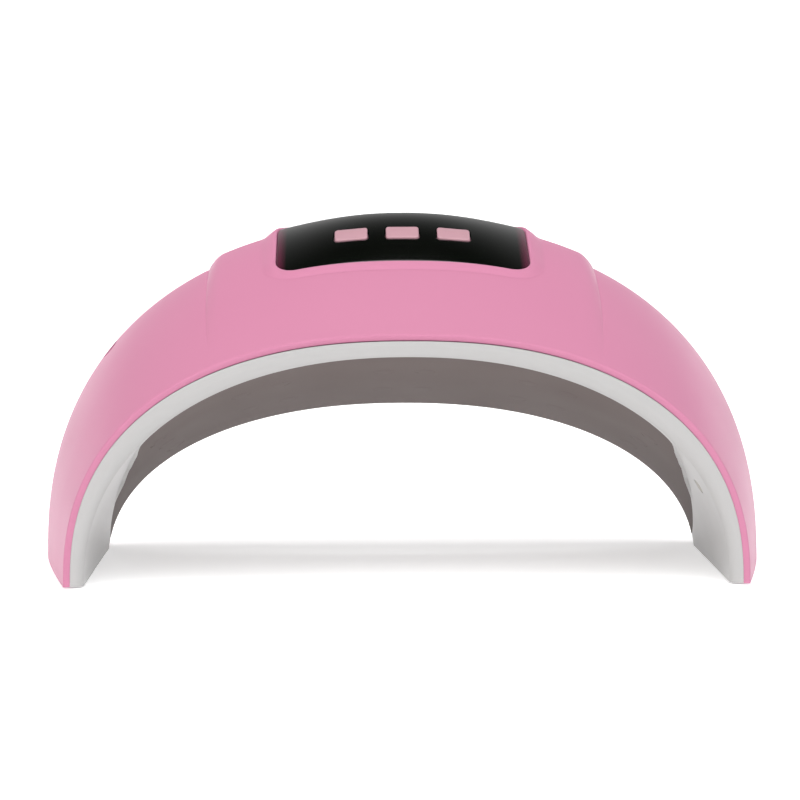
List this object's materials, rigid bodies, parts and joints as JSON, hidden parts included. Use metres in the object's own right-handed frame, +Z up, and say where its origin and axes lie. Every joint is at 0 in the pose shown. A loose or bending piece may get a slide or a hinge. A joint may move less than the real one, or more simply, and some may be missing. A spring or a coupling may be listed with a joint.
{
  "type": "uv led nail lamp",
  "caption": "Arch-shaped table lamp for curing gel nails: glossy shell, pale inner rim, open tunnel for the hand and a dark control window with push buttons.",
  "frame": {"origin": "on the ground under the centre of the lamp's bounding box", "axes": "+X across the arch, +Y from the front opening towards the back, +Z up"},
  "size_m": [0.1988, 0.086, 0.0953],
  "materials": {
    "outer_shell": "high gloss pink ABS",
    "panel_collar": "high gloss pink ABS",
    "display_window": "polished smoked acrylic",
    "button": "semi-gloss pink ABS",
    "inner_frame": "satin white ABS",
    "reflector": "satin metallised grey plastic",
    "led_board": "white solder mask on aluminium",
    "uv_led": "clear moulded lens over a violet chip",
    "control_board": "green solder mask",
    "component_black": "moulded black component",
    "component_metal": "plated metal",
    "jack_plastic": "moulded black plastic",
    "jack_pin": "plated contact",
    "sensor_lens": "tinted infra-red window",
    "foot_plate": "satin white ABS",
    "foot_rubber": "matt rubber",
    "screw_steel": "zinc plated",
    "red_lead": "insulated lead",
    "black_lead": "insulated lead"
  },
  "bodies": {
    "root": {"control_board": "control_board", "dc_jack": "jack_plastic", "dc_jack_pin": "jack_pin", "digit_display": "component_black", "display_window": "display_window", "driver_inductor": "component_black", "filter_capacitor": "component_metal", "foot_plate_left": "foot_plate", "foot_plate_right": "foot_plate", "foot_screw_left_front": "screw_steel", "foot_screw_left_rear": "screw_steel", "foot_screw_right_front": "screw_steel", "foot_screw_right_rear": "screw_steel", "foot_strip_left": "foot_rubber", "foot_strip_right": "foot_rubber", "hand_sensor": "sensor_lens", "inner_frame": "inner_frame", "led_board_1": "led_board", "led_board_2": "led_board", "led_board_3": "led_board", "led_board_4": "led_board", "led_board_5": "led_board", "led_lead_1": "red_lead", "led_lead_2": "red_lead", "led_lead_3": "red_lead", "led_lead_4": "red_lead", "outer_shell": "outer_shell", "panel_collar": "panel_collar", "power_lead_black": "black_lead", "power_lead_red": "red_lead", "reflector": "reflector", "tact_switch_left": "component_black", "tact_switch_middle": "component_black", "tact_switch_right": "component_black", "timer_chip": "component_black", "uv_led_01": "uv_led", "uv_led_02": "uv_led", "uv_led_03": "uv_led", "uv_led_04": "uv_led", "uv_led_05": "uv_led", "uv_led_06": "uv_led", "uv_led_07": "uv_led", "uv_led_08": "uv_led", "uv_led_09": "uv_led", "uv_led_10": "uv_led", "uv_led_11": "uv_led", "uv_led_12": "uv_led", "uv_led_13": "uv_led", "uv_led_14": "uv_led", "uv_led_15": "uv_led", "uv_led_16": "uv_led", "uv_led_17": "uv_led", "uv_led_18": "uv_led"},
    "button_left": {"button_left": "button", "switch_plunger_left": "component_metal"},
    "button_middle": {"button_middle": "button", "switch_plunger_middle": "component_metal"},
    "button_right": {"button_right": "button", "switch_plunger_right": "component_metal"}
  },
  "joints": [
    {"name": "button_left_press", "type": "slide", "parent": "root", "child": "button_left", "axis": [0, 0.3909, -0.9204], "range_m": [0, 0.0005], "stiffness_N_per_m": 1500, "springref_m": -0.0005},
    {"name": "button_middle_press", "type": "slide", "parent": "root", "child": "button_middle", "axis": [0, 0.3909, -0.9204], "range_m": [0, 0.0005], "stiffness_N_per_m": 1500, "springref_m": -0.0005},
    {"name": "button_right_press", "type": "slide", "parent": "root", "child": "button_right", "axis": [0, 0.3909, -0.9204], "range_m": [0, 0.0005], "stiffness_N_per_m": 1500, "springref_m": -0.0005}
  ]
}
